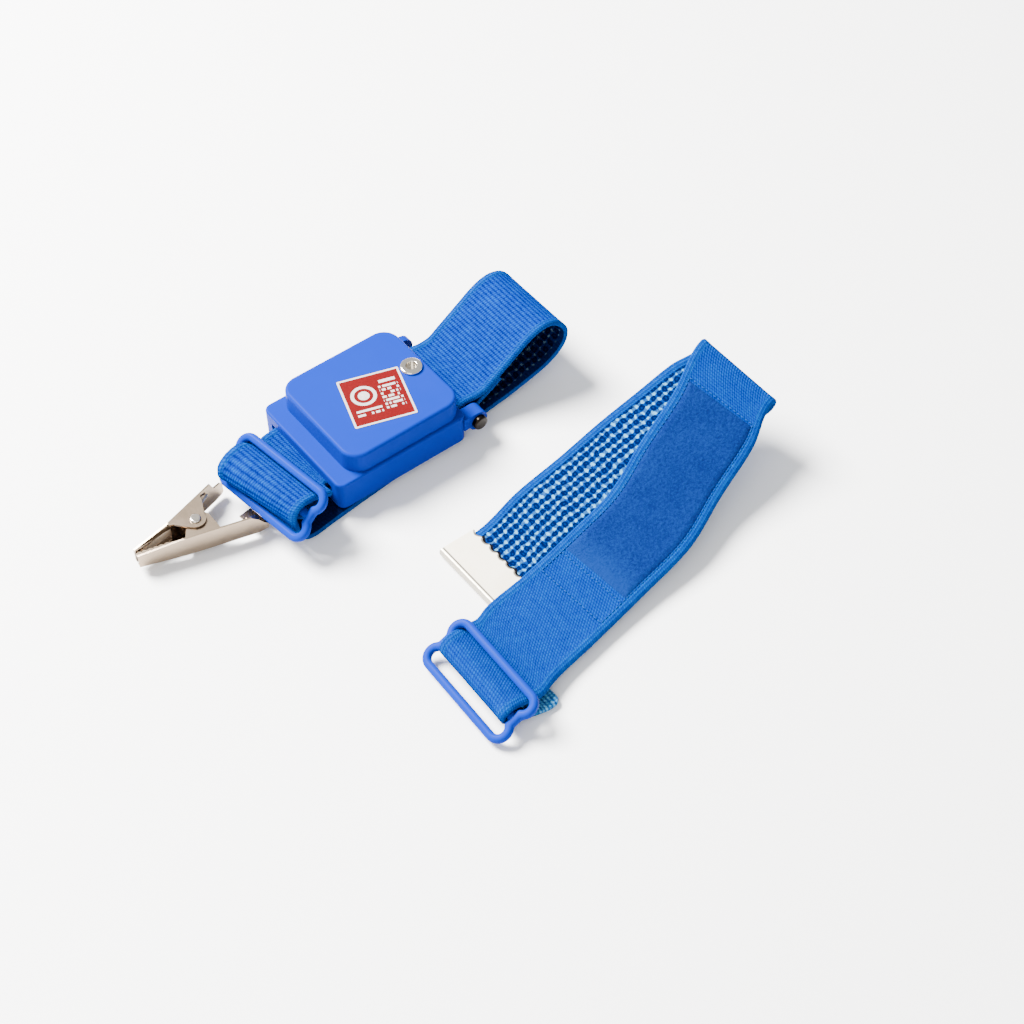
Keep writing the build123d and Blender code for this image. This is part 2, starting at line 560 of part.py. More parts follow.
# ---------------------------------------------------------------- spare band
def spare_band_stations():
    spare = in_slider(SPARE_SLIDER_CENTRE, SPARE_SLIDER_YAW)
    lower = [(-7.0, -55.9, 1.2, 0.0, 0.0), (3.5, -55.9, 1.25, 0.0, 0.0), (18.5, -53.3, 2.6, 1.0, 3.0),
             (33.0, -52.6, 5.2, 2.0, 3.0), (46.5, -51.9, 8.3, 3.0, 3.0), (59.5, -52.5, 12.0, 5.0, 6.0),
             (69.5, -53.6, 15.8, 7.5, 10.0)]
    upper = [(66.2, -60.4, 15.2, 15.0, 10.0), (51.3, -65.0, 10.2, 16.4, 8.0), (36.9, -70.6, 7.2, 14.5, 6.0),
             (20.3, -73.3, 4.7, 8.0, 5.0), (2.9, -76.3, 3.3, 4.0, 3.0), (-11.0, -79.2, 3.4, 0.0, 1.0)]
    turn = SLIDER_BAR / 2 + 0.3 + BAND_THICKNESS / 2
    middle = SPARE_SLIDER_CENTRE[2]
    roll = [spare(-9.5, 4.0, -0.6), spare(-6.3, 4.95, -0.4), spare(-3.2, 6.1, -0.2)]
    roll += [spare(forward, height) for forward, height in arc((0, middle), turn, range(90, -91, -30))]
    roll += [spare(-3.0, 1.7, 0.6), spare(-7.0, 0.95, 1.3), spare(-10.0, 0.8, 1.8)]
    roll += [(-12.3, -83.2, 0.8, 2.0, 0.0)]
    return lower, fold_stations(), upper, roll


def fold_stations():
    """Half turn about the crease where the spare band is folded over."""
    centre, yaw, tilt, radius, rise = (78.3, -55.3, 19.5), 9.6, 14.0, 0.95, 24.0
    forward = Vector(math.cos(math.radians(yaw)), math.sin(math.radians(yaw)), 0)
    ahead = forward * math.cos(math.radians(rise)) + Vector(0, 0, math.sin(math.radians(rise)))
    over = Vector(0, 0, math.cos(math.radians(rise))) - forward * math.sin(math.radians(rise))
    stations = []
    for angle in range(-90, 91, 30):
        turn = math.radians(angle)
        place = Vector(*centre) + (ahead * math.cos(turn) + over * math.sin(turn)) * radius
        stations.append((place.X, place.Y, place.Z, yaw, tilt))
    return stations


def make_end_plate():
    """Folded and crimped steel plate on the end of the spare band."""
    x, y, z = END_PLATE_X, END_PLATE_Y, END_PLATE_Z
    body = block(x, y, z)
    body = fillet(body.edges().filter_by(Axis.Y).group_by(Axis.X)[0], 0.8)
    body -= block((x[0] + 0.7, x[1] + 1), (y[0] - 1, y[1] + 1), (z[0] + SHEET, z[1] - SHEET))
    groove = x[0] + END_PLATE_GROOVE
    body -= block((groove, groove + 0.22), (y[0] - 1, y[1] + 1), (z[1] - 0.15, z[1] + 1))
    pitch = (y[1] - y[0]) / CRIMP_WAVES
    for i in range(CRIMP_WAVES):
        body -= upright(x[1] + 0.9, y[0] + (i + 0.5) * pitch, (z[0] - 1, z[1] + 1), 1.4)
    return body


# ---------------------------------------------------------------- build
save(make_top_shell(), "top_shell")
save(make_bottom_cover(), "bottom_cover")
save(make_cover_screws(), "cover_screws")
save(make_label(), "label")
save(make_eyelet(), "eyelet")
save(make_eyelet_contact(), "eyelet_contact")
save(make_circuit_board(), "circuit_board")
save(make_board_screws(), "board_screws")
save(make_resistor(), "resistor")
save(make_skin_plate(), "skin_plate")
save(make_contact_spring(), "contact_spring")
save(make_front_bar(), "front_bar")
save(make_rear_pin(), "rear_pin")

save(make_slider(FRONT_SLIDER_CENTRE, FRONT_SLIDER_YAW, FRONT_SLIDER_TILT), "front_slider")
save(ribbon(smooth(wrist_band_stations(), SMOOTH_STEPS), BAND_WIDTH, BAND_THICKNESS), "wrist_band")
save(ribbon(smooth(anchor_strap_stations(), SMOOTH_STEPS), ANCHOR_WIDTH, ANCHOR_THICKNESS), "anchor_strap")

save(make_fixed_jaw(), "clip_fixed_jaw")
save(make_moving_jaw(), "clip_moving_jaw")
save(make_clip_rivet(), "clip_rivet")
save(make_clip_spring(), "clip_spring")
save(spring_leg(31, 1, 6.1, 9.4), "clip_spring_leg")
save(make_clip_bracket(), "clip_bracket")
save(make_bracket_rivets(), "bracket_rivets")
save(make_tab_rivet(), "tab_rivet")

lower, fold, upper, roll = spare_band_stations()
spare_path = smooth(lower + fold + upper + roll, SMOOTH_STEPS)
save(ribbon(spare_path, BAND_WIDTH, BAND_THICKNESS), "spare_band")
patch_start = (len(lower) + len(fold)) * SMOOTH_STEPS - 1
patch_part = (patch_start, patch_start + 4 * SMOOTH_STEPS)
patch_lift = (BAND_THICKNESS + PATCH_THICKNESS) / 2 + PATCH_GAP
patch_width = BAND_WIDTH - 2 * PATCH_MARGIN
save(ribbon(spare_path, patch_width, PATCH_THICKNESS, patch_lift, patch_part), "spare_loop_patch")
save(make_end_plate(), "spare_end_plate")
save(make_slider(SPARE_SLIDER_CENTRE, SPARE_SLIDER_YAW, SPARE_SLIDER_TILT), "spare_slider")
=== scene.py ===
"""Looks of the anti-static wrist strap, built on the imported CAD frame."""

import math
import random

import bpy
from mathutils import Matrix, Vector


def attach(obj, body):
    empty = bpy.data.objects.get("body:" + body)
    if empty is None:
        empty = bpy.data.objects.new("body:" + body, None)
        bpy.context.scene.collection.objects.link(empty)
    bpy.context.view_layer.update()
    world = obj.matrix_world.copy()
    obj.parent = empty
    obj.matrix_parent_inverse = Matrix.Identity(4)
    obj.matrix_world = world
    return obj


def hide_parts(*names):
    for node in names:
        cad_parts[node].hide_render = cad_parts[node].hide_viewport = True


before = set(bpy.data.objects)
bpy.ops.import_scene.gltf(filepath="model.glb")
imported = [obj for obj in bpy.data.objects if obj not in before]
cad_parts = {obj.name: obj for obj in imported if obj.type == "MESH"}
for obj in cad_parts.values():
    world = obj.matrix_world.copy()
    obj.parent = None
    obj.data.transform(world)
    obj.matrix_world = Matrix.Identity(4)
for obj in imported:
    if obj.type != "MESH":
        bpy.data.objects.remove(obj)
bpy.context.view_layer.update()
MM = 0.001
random.seed(7)

# ---------------------------------------------------------------- places shared with the CAD, in millimetres
FRONT_SLIDER, FRONT_YAW = (-33.0, -7.15, 11.5), 7.75
SPARE_SLIDER, SPARE_YAW = (-25.0, -81.3, 4.6), -1.7
REAR_PIN = (23.6, 6.3)
FRONT_BAR = (-16.5, 5.7)
BAND_WIDTH, BAND_THICKNESS = 25.0, 1.3
ANCHOR_WIDTH, ANCHOR_THICKNESS = 23.6, 1.0
LABEL_CENTRE, LABEL_TURN = (2.4, -2.7), -18.0
PLATE_FRONT, PLATE_LINE, PLATE_SIDE, PLATE_WIDTH = -8.2, -7.1, -69.0, 26.1
CRIMPS, CRIMP_CENTRE, CRIMP_RADIUS = 8, 3.4, 1.4
CRIMP_PITCH = PLATE_WIDTH / CRIMPS

# ---------------------------------------------------------------- sizes of the visual model alone, in millimetres
RIB, FINE_RIB = 1.1, 0.72
DOTS_HALF = 10.1
HEM_SEAM, HEM_SEAM_GAP, HEM_SEAM_HALF = 3.2, 1.4, 11.5
PATCH_AFTER_FOLD, PATCH_PAST_STATION, PATCH_MARGIN, PATCH_PROUD = 9.5, 4.0, 2.5, 0.44
SEAM_GAP, SEAM_LAST = 0.2, 9.0
PALE_END, ROUND_END = 7.0, 1.6


# ---------------------------------------------------------------- node materials
class Nodes:
    """Short hand for building one material's node tree."""

    def __init__(self, name):
        self.material = bpy.data.materials.new(name)
        self.material.use_nodes = True
        self.tree = self.material.node_tree
        self.shader = self.tree.nodes["Principled BSDF"]

    def node(self, kind, **settings):
        """New node of a kind, with its properties set."""
        made = self.tree.nodes.new(kind)
        for key, value in settings.items():
            setattr(made, key, value)
        return made

    def feed(self, socket, value):
        """Links an output to a socket, or sets the socket to a constant."""
        if isinstance(value, bpy.types.NodeSocket):
            self.tree.links.new(value, socket)
        else:
            socket.default_value = value

    def math(self, operation, first, second=0.0, third=0.0):
        made = self.node("ShaderNodeMath", operation=operation)
        for socket, value in zip(made.inputs, (first, second, third)):
            self.feed(socket, value)
        return made.outputs[0]

    def ramp(self, value, low, high):
        """Smooth 0 to 1 as value goes from low to high."""
        made = self.node("ShaderNodeMapRange", interpolation_type="SMOOTHSTEP")
        for socket, number in zip(made.inputs[:5], (value, low, high, 0.0, 1.0)):
            self.feed(socket, number)
        return made.outputs[0]

    def mix(self, factor, first, second):
        made = self.node("ShaderNodeMix", data_type="RGBA")
        self.feed(made.inputs[0], factor)
        self.feed(made.inputs[6], first)
        self.feed(made.inputs[7], second)
        return made.outputs[2]

    def noise(self, scale, where=None, detail=3.0, rough=0.6):
        made = self.node("ShaderNodeTexNoise")
        made.inputs["Scale"].default_value = scale
        made.inputs["Detail"].default_value = detail
        made.inputs["Roughness"].default_value = rough
        self.feed(made.inputs["Vector"], where or self.place())
        return made.outputs["Fac"]

    def place(self):
        """Position in the row frame at rest, in metres."""
        return self.node("ShaderNodeTexCoord").outputs["Object"]

    def xyz(self, vector):
        made = self.node("ShaderNodeSeparateXYZ")
        self.feed(made.inputs[0], vector)
        return made.outputs

    def weave(self):
        """(across, along) in millimetres on a strap, from its UV map."""
        across, along, _ = self.xyz(self.node("ShaderNodeUVMap").outputs[0])
        return across, along

    def wave(self, value, pitch, shift=0.0):
        """0 to 1 cosine wave."""
        turns = self.math("MULTIPLY_ADD", value, math.tau / pitch, shift)
        return self.math("MULTIPLY_ADD", self.math("COSINE", turns), 0.5, 0.5)

    def bump(self, height, strength, distance):
        """Relief on the shader; distance is in metres."""
        made = self.node("ShaderNodeBump")
        made.inputs["Strength"].default_value = strength
        made.inputs["Distance"].default_value = distance
        self.feed(made.inputs["Height"], height)
        self.feed(self.shader.inputs["Normal"], made.outputs[0])

    def finish(self, colour, roughness, **constants):
        """Feeds the shader and sets its constants, whose names have _ for a space."""
        self.feed(self.shader.inputs["Base Color"], colour)
        self.feed(self.shader.inputs["Roughness"], roughness)
        for key, value in constants.items():
            self.shader.inputs[key.replace("_", " ")].default_value = value
        return self.material


def moulded_plastic(name, base, pale, roughness):
    """Satin moulding with faint flow marks, a fine grain and slight scuffing."""
    n = Nodes(name)
    cloud = n.ramp(n.noise(55.0), 0.35, 0.7)
    grain = n.noise(5200.0, detail=2.0)
    scuff = n.ramp(n.noise(700.0, detail=6.0, rough=0.75), 0.58, 0.72)
    n.bump(n.math("MULTIPLY_ADD", scuff, 0.3, grain), 0.14, 0.00006)
    colour = n.mix(n.math("MULTIPLY", cloud, 0.5), base, pale)
    shade = n.math("MULTIPLY_ADD", scuff, 0.1, roughness)
    return n.finish(colour, shade, Specular_IOR_Level=0.02)


def metal(name, bright, dull, roughness, scale=2600.0, strength=0.05):
    """Plated or drawn metal with faint stains and fine handling marks."""
    n = Nodes(name)
    stain = n.ramp(n.noise(140.0, detail=5.0), 0.4, 0.8)
    marks = n.noise(scale, detail=6.0, rough=0.7)
    n.bump(marks, strength, 0.00004)
    shade = n.math("MULTIPLY_ADD", marks, 0.1, roughness - 0.05)
    return n.finish(n.mix(n.math("MULTIPLY", stain, 0.4), bright, dull), shade, Metallic=1.0)


def crimped_plate(name):
    """Bright plated steel, with painted shade along its folded front edge, in its pressed line, round its crimps and
    on its low sides.
    """
    n = Nodes(name)
    x, y, z = n.xyz(n.place())
    x, y = n.math("MULTIPLY", x, 1000.0), n.math("MULTIPLY", y, 1000.0)
    ragged = n.math("MULTIPLY_ADD", n.noise(900.0, detail=5.0), 0.5, -0.25)
    stain = n.noise(110.0, detail=4.0)
    # Painted shade: dark brown on the front edge turned from the light, in the pressed groove, round the crimps where
    # the band meets the plate and on the low side walls; the same mask dulls the metal there.
    front = n.math("SUBTRACT", 1.0, n.ramp(n.math("ADD", x, ragged), PLATE_FRONT + 0.3, PLATE_FRONT + 0.6))
    line = n.math("SUBTRACT", 1.0, n.ramp(n.math("ABSOLUTE", n.math("SUBTRACT", x, PLATE_LINE)), 0.16, 0.34))
    row = n.math("FRACT", n.math("DIVIDE", n.math("SUBTRACT", y, PLATE_SIDE), CRIMP_PITCH))
    off = n.math("MULTIPLY", n.math("SUBTRACT", row, 0.5), CRIMP_PITCH)
    ahead = n.math("SUBTRACT", x, CRIMP_CENTRE)
    reach = n.math("SQRT", n.math("ADD", n.math("MULTIPLY", off, off), n.math("MULTIPLY", ahead, ahead)))
    reach = n.math("ADD", reach, ragged)
    crimp_shade = n.math("SUBTRACT", 1.0, n.ramp(reach, CRIMP_RADIUS + 0.25, CRIMP_RADIUS + 0.6))
    side = n.math("SUBTRACT", 1.0, n.ramp(n.math("MULTIPLY", z, 1000.0), 1.5, 2.1))
    painted_shade = n.math("MAXIMUM", n.math("MULTIPLY", n.math("MAXIMUM", n.math("MULTIPLY", front, 0.7), line), 0.9),
                  n.math("MAXIMUM", n.math("MULTIPLY", crimp_shade, 0.95), n.math("MULTIPLY", side, 0.6)))
    colour = n.mix(n.ramp(stain, 0.35, 0.8), (0.98, 0.92, 0.77, 1), (0.90, 0.80, 0.62, 1))
    n.bump(n.noise(500.0, detail=6.0), 0.05, 0.00005)
    n.feed(n.shader.inputs["Metallic"], n.math("MULTIPLY_ADD", painted_shade, -0.6, 0.6))
    return n.finish(n.mix(painted_shade, colour, (0.03, 0.024, 0.02, 1)), 0.46, Specular_IOR_Level=0.2)


def knit(name, dark, mid, light, rib, column, contrast=0.5, ribs=0.62, lengthwise=False):
    """Outer face of the elastic: ribs of slanted stitches, crosswise, or lengthwise for a selvedge."""
    n = Nodes(name)
    across, along = n.weave()
    if lengthwise:
        across, along = along, across
    row = n.math("FLOOR", n.math("DIVIDE", along, rib))
    crest = n.wave(along, rib, math.pi)
    side = n.math("MULTIPLY", row, math.pi)
    slant = n.math("MULTIPLY", n.math("SINE", n.math("MULTIPLY", along, math.tau / rib)), 0.9)
    turns = n.math("ADD", n.math("MULTIPLY", across, math.tau / column), n.math("ADD", side, slant))
    stitch = n.math("MULTIPLY_ADD", n.math("COSINE", turns), 0.5, 0.5)
    cell = n.node("ShaderNodeCombineXYZ")
    n.feed(cell.inputs[0], n.math("FLOOR", n.math("DIVIDE", across, column)))
    n.feed(cell.inputs[1], row)
    chance = n.node("ShaderNodeTexWhiteNoise", noise_dimensions="3D")
    n.feed(chance.inputs[0], cell.outputs[0])
    yarn = n.noise(2300.0, detail=4.0, rough=0.7)
    cloud = n.noise(220.0)
    # Painted highlight and shade: rib crests and stitch tops are made lighter and the grooves between ribs darker, on
    # top of the yarn's own random tone.
    level = n.math("MULTIPLY_ADD", n.math("POWER", crest, 0.6), ribs, n.math("MULTIPLY", stitch, 0.84 - ribs))
    level = n.math("ADD", level, n.math("MULTIPLY_ADD", chance.outputs["Value"], 0.24, -0.12))
    level = n.math("ADD", level, n.math("MULTIPLY_ADD", yarn, 1.3, -0.65))
    level = n.math("ADD", level, n.math("MULTIPLY_ADD", cloud, 0.4, -0.2))
    colour = n.mix(n.ramp(level, 0.0, contrast), dark, mid)
    colour = n.mix(n.math("MULTIPLY", n.ramp(level, 0.5, 1.0), 0.9), colour, light)
    n.bump(n.math("ADD", n.math("MULTIPLY", crest, 0.5), n.math("ADD", stitch, yarn)), 0.6, 0.00018)
    return n.finish(colour, 0.8, Specular_IOR_Level=0.0)


def dotted(name, dark, mid, white, pitch_across, pitch_along, bridges=0.5, dots=0.48, plain_after=1e6,
           plate_shadow=None):
    """Inner face: white conductive loops between rings of navy ones, on a ground with plain edges.

    The loops wander by a millimetre or two and stop at plain_after millimetres along. The end plate's shadow is
    (edge, depth, waves):
    the web is painted dark with shadow against the end plate up to an edge with bites of that depth."""
    n = Nodes(name)
    edge_across, along = n.weave()
    across = n.math("ADD", edge_across, n.math("MULTIPLY_ADD", n.noise(330.0), 2.4, -1.2))
    along = n.math("ADD", along, n.math("MULTIPLY_ADD", n.noise(410.0), 1.8, -0.9))
    loop = n.math("MULTIPLY", n.wave(across, pitch_across), n.wave(along, pitch_along))
    other = n.math("MULTIPLY", n.wave(across, pitch_across, math.pi), n.wave(along, pitch_along, math.pi))
    yarn = n.math("MULTIPLY_ADD", n.noise(2100.0, detail=4.0, rough=0.7), 2.0, -1.0)
    patchy = n.math("MULTIPLY_ADD", n.noise(700.0), 0.9, -0.45)
    ragged = n.math("ADD", yarn, patchy)
    bridge = n.math("MULTIPLY", n.ramp(n.wave(across, pitch_across), 0.62, 0.95), bridges)
    navy_loop = n.ramp(n.math("ADD", other, n.math("MULTIPLY", ragged, 0.5)), 0.02, 0.3)
    core = n.math("MULTIPLY", n.ramp(other, 0.8, 0.97), 0.5)
    white_loop = n.ramp(n.math("ADD", loop, n.math("MULTIPLY", ragged, 0.7)), dots, dots + 0.35)
    colour = n.mix(navy_loop, mid, dark)
    colour = n.mix(core, colour, mid)
    colour = n.mix(n.math("MULTIPLY", bridge, n.ramp(ragged, -0.5, 0.5)), colour, white)
    colour = n.mix(white_loop, colour, white)
    plain = n.math("MAXIMUM", n.ramp(n.math("ABSOLUTE", edge_across), DOTS_HALF, DOTS_HALF + 0.6),
                   n.ramp(along, plain_after, plain_after + 2.0))
    ground = n.mix(n.math("MULTIPLY_ADD", n.wave(along, 0.9), 0.4, n.math("MULTIPLY", yarn, 0.5)), mid, dark)
    colour = n.mix(plain, colour, ground)
    # Painted shadow: the web is darkened nearly to black where the end plate's crimped edge shades it.
    if plate_shadow:
        edge, depth, waves = plate_shadow
        bow = n.math("ABSOLUTE", n.math("SINE", n.math("MULTIPLY", edge_across, waves)))
        border = n.math("SUBTRACT", edge, n.math("MULTIPLY", bow, depth))
        gap = n.math("SUBTRACT", along, n.math("ADD", border, n.math("MULTIPLY", patchy, 0.6)))
        colour = n.mix(n.math("SUBTRACT", 1.0, n.ramp(gap, 0.25, 0.6)), colour, (0.004, 0.004, 0.006, 1))
    n.bump(n.math("ADD", n.math("MAXIMUM", loop, n.math("MULTIPLY", other, 0.6)), yarn), 0.7, 0.0002)
    return n.finish(colour, 0.8, Specular_IOR_Level=0.0)


def nap(name, dark, light, fade):
    """Fuzzy loop pile, paler over the last millimetres where it runs out."""
    n = Nodes(name)
    along = n.weave()[1]
    fine = n.noise(2700.0, detail=4.0, rough=0.75)
    tufts = n.noise(1300.0, detail=3.0)
    cloud = n.noise(110.0)
    level = n.math("ADD", n.math("MULTIPLY_ADD", fine, 2.0, -0.65), n.math("MULTIPLY_ADD", tufts, 0.8, -0.4))
    level = n.math("ADD", level, n.math("MULTIPLY_ADD", cloud, 0.4, -0.2))
    level = n.math("ADD", level, n.math("MULTIPLY", n.ramp(along, fade - 10.0, fade), 0.35))
    n.bump(n.math("ADD", fine, tufts), 0.9, 0.0003)
    return n.finish(n.mix(n.ramp(level, 0.05, 0.75), dark, light), 0.95, Specular_IOR_Level=0.0)


def thread(name, colour, pale):
    """Twisted sewing thread."""
    n = Nodes(name)
    twist = n.noise(6000.0, detail=2.0)
    n.bump(twist, 0.5, 0.0001)
    return n.finish(n.mix(n.ramp(twist, 0.35, 0.7), colour, pale), 0.6, Specular_IOR_Level=0.1)


def printed_label(name):
    """Red label with a white frame and a made-up pattern of blocks and rings, which says nothing."""
    n = Nodes(name)
    x, y, _ = n.xyz(n.place())
    x = n.math("SUBTRACT", n.math("MULTIPLY", x, 1000.0), LABEL_CENTRE[0])
    y = n.math("SUBTRACT", n.math("MULTIPLY", y, 1000.0), LABEL_CENTRE[1])
    cos, sin = math.cos(math.radians(LABEL_TURN)), math.sin(math.radians(LABEL_TURN))
    u = n.math("ADD", n.math("MULTIPLY", x, cos), n.math("MULTIPLY", y, sin))
    v = n.math("SUBTRACT", n.math("MULTIPLY", y, cos), n.math("MULTIPLY", x, sin))

    def inside(value, centre, half):
        return n.math("LESS_THAN", n.math("ABSOLUTE", n.math("SUBTRACT", value, centre)), half)

    def panel(cx, cy, hx, hy):
        return n.math("MULTIPLY", inside(u, cx, hx), inside(v, cy, hy))

    def ring(cx, cy, outer, inner):
        across, up = n.math("SUBTRACT", u, cx), n.math("SUBTRACT", v, cy)
        reach = n.math("SQRT", n.math("ADD", n.math("MULTIPLY", across, across), n.math("MULTIPLY", up, up)))
        return n.math("MULTIPLY", n.math("LESS_THAN", reach, outer), n.math("GREATER_THAN", reach, inner))

    def dashes(cx, cy, hx, hy, pitch, gap, seed):
        cell = n.math("FLOOR", n.math("DIVIDE", u, pitch))
        chance = n.node("ShaderNodeTexWhiteNoise", noise_dimensions="1D")
        n.feed(chance.inputs["W"], n.math("ADD", cell, seed))
        ink = n.math("GREATER_THAN", chance.outputs["Value"], gap)
        return n.math("MULTIPLY", panel(cx, cy, hx, hy), ink)

    marks = [ring(-3.0, 1.6, 3.4, 2.5), ring(-3.0, 1.6, 1.5, 0.0)]
    marks += [panel(-3.0, -3.4, 3.4, 0.35), panel(4.2, 5.0, 2.2, 0.5)]
    marks += [dashes(4.0, 3.2 - 1.25 * k, 2.6, 0.36, 0.5, 0.3, 17.0 * k) for k in range(7)]
    marks += [dashes(-3.0, -4.8, 3.4, 0.36, 0.55, 0.25, 5.0)]
    ink = marks[0]
    for mark in marks[1:]:
        ink = n.math("MAXIMUM", ink, mark)
    field = n.math("MULTIPLY", inside(u, 0.0, 7.75), inside(v, 0.0, 7.95))
    fibre = n.noise(3000.0, detail=4.0)
    red = n.mix(n.ramp(fibre, 0.3, 0.8), (0.070, 0.0014, 0.0019, 1), (0.100, 0.0027, 0.0034, 1))
    white = n.mix(n.ramp(fibre, 0.3, 0.8), (0.34, 0.31, 0.30, 1), (0.48, 0.45, 0.44, 1))
    colour = n.mix(n.math("MULTIPLY", field, n.math("SUBTRACT", 1.0, ink)), white, red)
    n.bump(fibre, 0.1, 0.00004)
    return n.finish(colour, 0.4, Specular_IOR_Level=0.06)


NAVY, AZURE, SKY = (0.0, 0.0032, 0.070, 1), (0.0, 0.0180, 0.150, 1), (0.0, 0.042, 0.21, 1)
BLUE, BLUE_PALE = (0.0, 0.0148, 0.215, 1), (0.0, 0.0162, 0.230, 1)

SHELL = moulded_plastic("shell_plastic", BLUE, BLUE_PALE, 0.40)
SLIDER = moulded_plastic("slider_plastic", (0.0, 0.0185, 0.235, 1), (0.0, 0.0205, 0.250, 1), 0.34)
RIBBED = knit("ribbed_elastic", NAVY, AZURE, SKY, RIB, 0.7)
FINE = knit("fine_elastic", (0.0, 0.0070, 0.090, 1), (0.0, 0.0205, 0.150, 1), (0.0, 0.043, 0.21, 1),
            FINE_RIB, 0.75, contrast=0.4, ribs=0.5)
SELVEDGE = knit("selvedge", (0.0, 0.0085, 0.085, 1), (0.0, 0.025, 0.155, 1), (0.0, 0.056, 0.23, 1),
                0.85, 0.6, contrast=0.4, ribs=0.45, lengthwise=True)
INNER = dotted("inner_face", (0.0, 0.0030, 0.034, 1), (0.0, 0.020, 0.125, 1), (0.075, 0.27, 0.47, 1),
               2.3, 1.95, bridges=0.30, dots=0.46, plate_shadow=(10.1, 0.7, math.pi / CRIMP_PITCH))
# Painted shade: the wrist band's upturned inner face gets darker colours than the spare band's, standing in for the
# shadow it lies in.
INNER_SHADED = dotted("inner_shaded", (0.001, 0.001, 0.012, 1), (0.001, 0.006, 0.05, 1), (0.05, 0.095, 0.14, 1),
                    2.6, 2.2, bridges=0.0, dots=0.6, plain_after=105.0)
LOOSE_END = knit("loose_end", (0.0, 0.020, 0.13, 1), (0.02, 0.12, 0.30, 1), (0.14, 0.42, 0.62, 1),
                 0.9, 0.8, contrast=0.4)
THREAD = thread("thread", (0.0, 0.026, 0.155, 1), (0.0, 0.050, 0.22, 1))
NICKEL = metal("satin_nickel", (0.31, 0.238, 0.172, 1), (0.185, 0.135, 0.092, 1), 0.22)
BRIGHT = metal("bright_nickel", (0.70, 0.65, 0.57, 1), (0.45, 0.40, 0.34, 1), 0.14)
CREAM = crimped_plate("crimped_plate")
STEEL = metal("plain_steel", (0.45, 0.45, 0.46, 1), (0.28, 0.27, 0.27, 1), 0.30)
BLACKED = metal("blacked_steel", (0.012, 0.009, 0.007, 1), (0.005, 0.004, 0.0035, 1), 0.30)
BRASS = metal("brass", (0.60, 0.38, 0.12, 1), (0.34, 0.2, 0.06, 1), 0.30)
LABEL = printed_label("printed_label")
BOARD = moulded_plastic("board", (0.01, 0.09, 0.035, 1), (0.02, 0.13, 0.05, 1), 0.4)
RESISTOR = moulded_plastic("resistor", (0.35, 0.22, 0.1, 1), (0.42, 0.28, 0.14, 1), 0.5)


# ---------------------------------------------------------------- straps
def slopes(stations, gaps, i):
    """Change of each of a station's numbers per millimetre of path, at station i."""
    if i == 0:
        return [(b - a) / gaps[0] for a, b in zip(stations[0], stations[1])]
    if i == len(gaps):
        return [(b - a) / gaps[-1] for a, b in zip(stations[-2], stations[-1])]
    before, after = gaps[i - 1], gaps[i]
    return [((q - p) / before * after + (r - q) / after * before) / (before + after)
            for p, q, r in zip(stations[i - 1], stations[i], stations[i + 1])]


def smooth(stations, step):
    """The CAD's smooth curve through the stations, sampled about every step millimetres."""
    gaps = [math.dist(a[:3], b[:3]) for a, b in zip(stations, stations[1:])]
    points = []
    for i, gap in enumerate(gaps):
        leave, arrive = slopes(stations, gaps, i), slopes(stations, gaps, i + 1)
        count = max(2, round(gap / step))
        for k in range(count):
            t = k / count
            blend = t * t * (3 - 2 * t)
            out, back = gap * t * (1 - t) ** 2, gap * t * t * (1 - t)
            points.append([a + (b - a) * blend + m * out - n * back
                           for a, b, m, n in zip(stations[i], stations[i + 1], leave, arrive)])
    points.append(list(stations[-1]))
    return points


def arc(centre, radius, angles):
    """Points in a plane about a centre, at angles in degrees."""
    return [(centre[0] + radius * math.cos(math.radians(a)), centre[1] + radius * math.sin(math.radians(a)))
            for a in angles]


def in_slider(centre, yaw):
    """Turns (forward, height, aside) about a slider's centre bar into a strap station.

    A bulge (forward, up) pushes the strap's +Y side out of its path, and a spread widens it there."""
    turn = math.radians(yaw)

    def station(forward, height, aside=0.0, tilt=0.0, bulge=(0.0, 0.0), spread=0.0):
        x = centre[0] - forward * math.cos(turn) + aside * math.sin(turn)
        y = centre[1] - forward * math.sin(turn) - aside * math.cos(turn)
        return (x, y, height, yaw, tilt, bulge[0], bulge[1], spread)

    return station


class Strap:
    """A strap's path: every sample holds its place, its width direction and its face's normal.

    A station is (x, y, z, yaw, tilt, bulge forward, bulge up, spread); the last three may be left out."""

    def __init__(self, stations, step, width, thickness):
        full = [tuple(s) + (0.0,) * (8 - len(s)) for s in stations]
        points = smooth(full, step)
        self.width, self.thickness = width, thickness
        self.places = [Vector(p[:3]) for p in points]
        self.spreads = [p[7] for p in points]
        self.bulges, self.acrosses, self.normals, self.distance = [], [], [], [0.0]
        last = len(points) - 1
        for i, p in enumerate(points):
            yaw, tilt = math.radians(p[3]), math.radians(p[4])
            self.bulges.append(Vector((-p[5] * math.cos(yaw), -p[5] * math.sin(yaw), p[6])))
            across = Vector((math.sin(yaw) * math.cos(tilt), -math.cos(yaw) * math.cos(tilt), -math.sin(tilt)))
            along = (self.places[min(i + 1, last)] - self.places[max(i - 1, 0)]).normalized()
            self.acrosses.append(across)
            self.normals.append(along.cross(across).normalized())
            if i:
                self.distance.append(self.distance[-1] + (self.places[i] - self.places[i - 1]).length)
        self.length = self.distance[-1]

    def at(self, i, aside, height):
        """Point beside and above sample i; aside is positive towards -Y."""
        share = 0.5 - aside / self.width
        spread = aside - self.spreads[i] * max(share, 0.0)
        place = self.places[i] + self.acrosses[i] * spread + self.normals[i] * height
        return (place + self.bulges[i] * min(max(share, 0.0), 1.0)) * MM

    def point(self, distance, aside, height):
        """The same at a distance along the strap."""
        i = 0
        while i < len(self.distance) - 2 and self.distance[i + 1] < distance:
            i += 1
        share = (distance - self.distance[i]) / (self.distance[i + 1] - self.distance[i])
        return self.at(i, aside, height).lerp(self.at(i + 1, aside, height), share)


